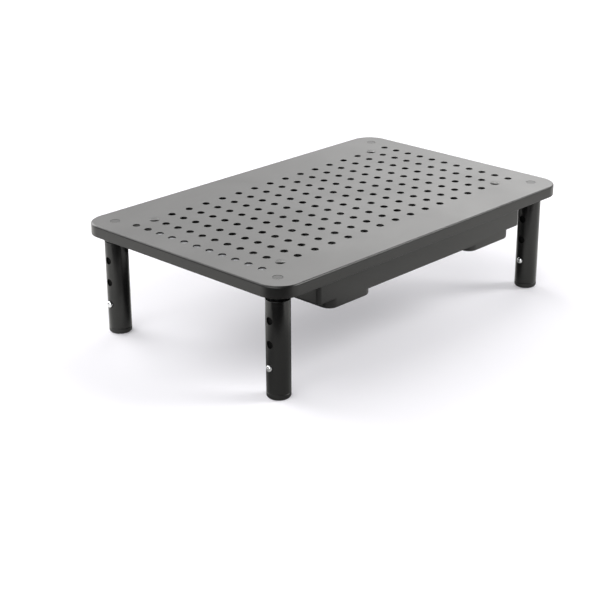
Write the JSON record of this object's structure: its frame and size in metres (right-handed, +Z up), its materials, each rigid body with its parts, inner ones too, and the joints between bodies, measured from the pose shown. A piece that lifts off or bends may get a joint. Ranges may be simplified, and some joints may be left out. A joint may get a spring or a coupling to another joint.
{
  "type": "monitor stand with drawer",
  "caption": "Perforated sheet-metal monitor riser on telescopic snap-button tube legs, with a shallow binned drawer that slides out below it.",
  "frame": {"origin": "on the floor below the middle of the platform, legs at their lowest setting", "axes": "+X along the platform's long side to the right as seen from the drawer, +Y to the back, the drawer opens towards -Y, +Z up"},
  "size_m": [0.37, 0.237, 0.1019],
  "materials": {
    "satin_black": "satin black powder coat",
    "tube_black": "satin black paint",
    "inner_black": "matt black paint",
    "nut_black": "matt black zinc plating",
    "black_plastic": "matt black plastic",
    "drawer_black": "fine satin black plastic",
    "chrome": "bright chrome",
    "spring_steel": "bare spring steel",
    "zinc": "zinc plated",
    "light_strip": "matt grey film"
  },
  "bodies": {
    "stand": {"platform": "satin_black", "underside_strip": "light_strip", "rail_left": "satin_black", "rail_right": "satin_black", "corner_nut_front_left": "nut_black", "leg_plug_front_left": "black_plastic", "inner_tube_front_left": "inner_black", "button_spring_front_left": "spring_steel", "rail_stud_front_left": "satin_black", "rail_nut_front_left": "zinc", "corner_nut_front_right": "nut_black", "leg_plug_front_right": "black_plastic", "inner_tube_front_right": "inner_black", "button_spring_front_right": "spring_steel", "rail_stud_front_right": "satin_black", "rail_nut_front_right": "zinc", "corner_nut_rear_left": "nut_black", "leg_plug_rear_left": "black_plastic", "inner_tube_rear_left": "inner_black", "button_spring_rear_left": "spring_steel", "rail_stud_rear_left": "satin_black", "rail_nut_rear_left": "zinc", "corner_nut_rear_right": "nut_black", "leg_plug_rear_right": "black_plastic", "inner_tube_rear_right": "inner_black", "button_spring_rear_right": "spring_steel", "rail_stud_rear_right": "satin_black", "rail_nut_rear_right": "zinc"},
    "leg_front_left": {"outer_tube_front_left": "tube_black", "foot_cap_front_left": "black_plastic"},
    "button_front_left": {"snap_button_front_left": "chrome"},
    "leg_front_right": {"outer_tube_front_right": "tube_black", "foot_cap_front_right": "black_plastic"},
    "button_front_right": {"snap_button_front_right": "chrome"},
    "leg_rear_left": {"outer_tube_rear_left": "tube_black", "foot_cap_rear_left": "black_plastic"},
    "button_rear_left": {"snap_button_rear_left": "chrome"},
    "leg_rear_right": {"outer_tube_rear_right": "tube_black", "foot_cap_rear_right": "black_plastic"},
    "button_rear_right": {"snap_button_rear_right": "chrome"},
    "drawer": {"drawer": "drawer_black"}
  },
  "joints": [
    {"name": "leg_slide_front_left", "type": "slide", "parent": "stand", "child": "leg_front_left", "axis": [0, 0, -1], "range_m": [0, 0.04], "deforming": ["snap_button_front_left"]},
    {"name": "leg_slide_front_right", "type": "slide", "parent": "stand", "child": "leg_front_right", "axis": [0, 0, -1], "range_m": [0, 0.04], "deforming": ["snap_button_front_right"]},
    {"name": "leg_slide_rear_left", "type": "slide", "parent": "stand", "child": "leg_rear_left", "axis": [0, 0, -1], "range_m": [0, 0.04], "deforming": ["snap_button_rear_left"]},
    {"name": "leg_slide_rear_right", "type": "slide", "parent": "stand", "child": "leg_rear_right", "axis": [0, 0, -1], "range_m": [0, 0.04], "deforming": ["snap_button_rear_right"]},
    {"name": "button_press_front_left", "type": "slide", "parent": "stand", "child": "button_front_left", "axis": [1, 0, 0], "range_m": [0, 0.004], "stiffness_N_per_m": 600, "springref_m": -0.003, "deforming": ["button_spring_front_left"]},
    {"name": "button_press_front_right", "type": "slide", "parent": "stand", "child": "button_front_right", "axis": [1, 0, 0], "range_m": [0, 0.004], "stiffness_N_per_m": 600, "springref_m": -0.003, "deforming": ["button_spring_front_right"]},
    {"name": "button_press_rear_left", "type": "slide", "parent": "stand", "child": "button_rear_left", "axis": [1, 0, 0], "range_m": [0, 0.004], "stiffness_N_per_m": 600, "springref_m": -0.003, "deforming": ["button_spring_rear_left"]},
    {"name": "button_press_rear_right", "type": "slide", "parent": "stand", "child": "button_rear_right", "axis": [1, 0, 0], "range_m": [0, 0.004], "stiffness_N_per_m": 600, "springref_m": -0.003, "deforming": ["button_spring_rear_right"]},
    {"name": "drawer_slide", "type": "slide", "parent": "stand", "child": "drawer", "axis": [0, -1, 0], "range_m": [0, 0.15]}
  ]
}
